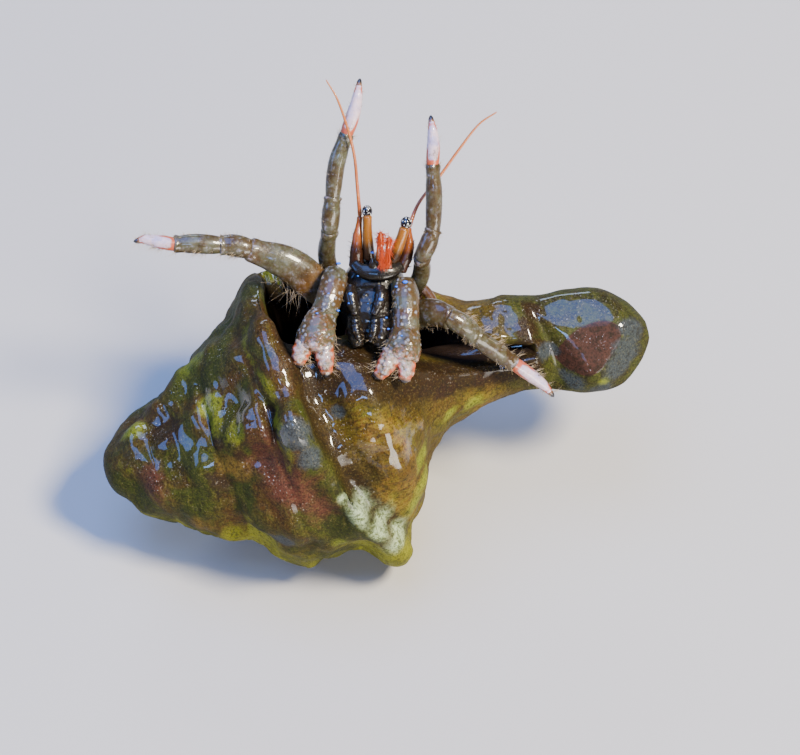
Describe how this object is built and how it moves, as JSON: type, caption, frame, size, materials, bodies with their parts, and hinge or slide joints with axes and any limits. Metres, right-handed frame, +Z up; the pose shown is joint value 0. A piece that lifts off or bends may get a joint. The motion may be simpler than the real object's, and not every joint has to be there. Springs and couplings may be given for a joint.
{
  "type": "hermit crab",
  "caption": "Small rock-pool hermit crab standing half out of a worn knobbly sea-snail shell, claws hanging and front legs raised; still life-size model.",
  "frame": {"origin": "bottom centre of the whole model's box, on the floor that the shell lies on", "axes": "+X along the shell from its point to its canal, -Y the side that the crab faces, +Z up"},
  "size_m": [0.0343, 0.0199, 0.0293],
  "materials": {
    "shell_wet": "wet algae-covered shell, olive green to chestnut brown, glossy",
    "shell_end": "wet dark olive and brown, glossy",
    "limb_skin": "olive-brown wet horny skin with bluish and reddish flecks",
    "claw_skin": "olive-brown grainy skin paling to white and pink at the fingers",
    "foot_skin": "white and lilac with orange-red lines and a dark tip",
    "back_skin": "dark olive-brown hard back",
    "soft_skin": "soft pinkish brown skin",
    "orange_skin": "orange-red feelers",
    "stalk_skin": "amber-orange eye stalks",
    "eye": "black cornea with pale specks, glossy"
  },
  "bodies": {
    "root": {"shell_spire": "shell_wet", "shell_body_whorl": "shell_wet", "shell_canal": "shell_wet", "shell_canal_end": "shell_end", "carapace_shield": "back_skin", "carapace_rear": "soft_skin", "chest": "limb_skin", "abdomen": "soft_skin", "eye_stalk_right": "stalk_skin", "eye_right": "eye", "feeler_base_right": "orange_skin", "feeler_right": "orange_skin", "small_feeler_right": "orange_skin", "jaw_leg_right": "limb_skin", "eye_stalk_left": "stalk_skin", "eye_left": "eye", "feeler_base_left": "orange_skin", "feeler_left": "orange_skin", "small_feeler_left": "orange_skin", "jaw_leg_left": "limb_skin", "leg4_right": "limb_skin", "leg4_left": "limb_skin", "leg5_right": "limb_skin", "leg5_left": "limb_skin", "claw_right_arm": "limb_skin", "claw_right_wrist": "claw_skin", "claw_right_palm": "claw_skin", "claw_right_finger": "claw_skin", "claw_left_arm": "limb_skin", "claw_left_wrist": "claw_skin", "claw_left_palm": "claw_skin", "claw_left_finger": "claw_skin", "leg2_right_thigh": "limb_skin", "leg2_right_knee": "limb_skin", "leg2_right_shin": "limb_skin", "leg2_right_foot": "foot_skin", "leg2_left_thigh": "limb_skin", "leg2_left_knee": "limb_skin", "leg2_left_shin": "limb_skin", "leg2_left_foot": "foot_skin", "leg3_right_thigh": "limb_skin", "leg3_right_knee": "limb_skin", "leg3_right_shin": "limb_skin", "leg3_right_foot": "foot_skin", "leg3_left_thigh": "limb_skin", "leg3_left_knee": "limb_skin", "leg3_left_shin": "limb_skin", "leg3_left_foot": "foot_skin"}
  },
  "joints": []
}
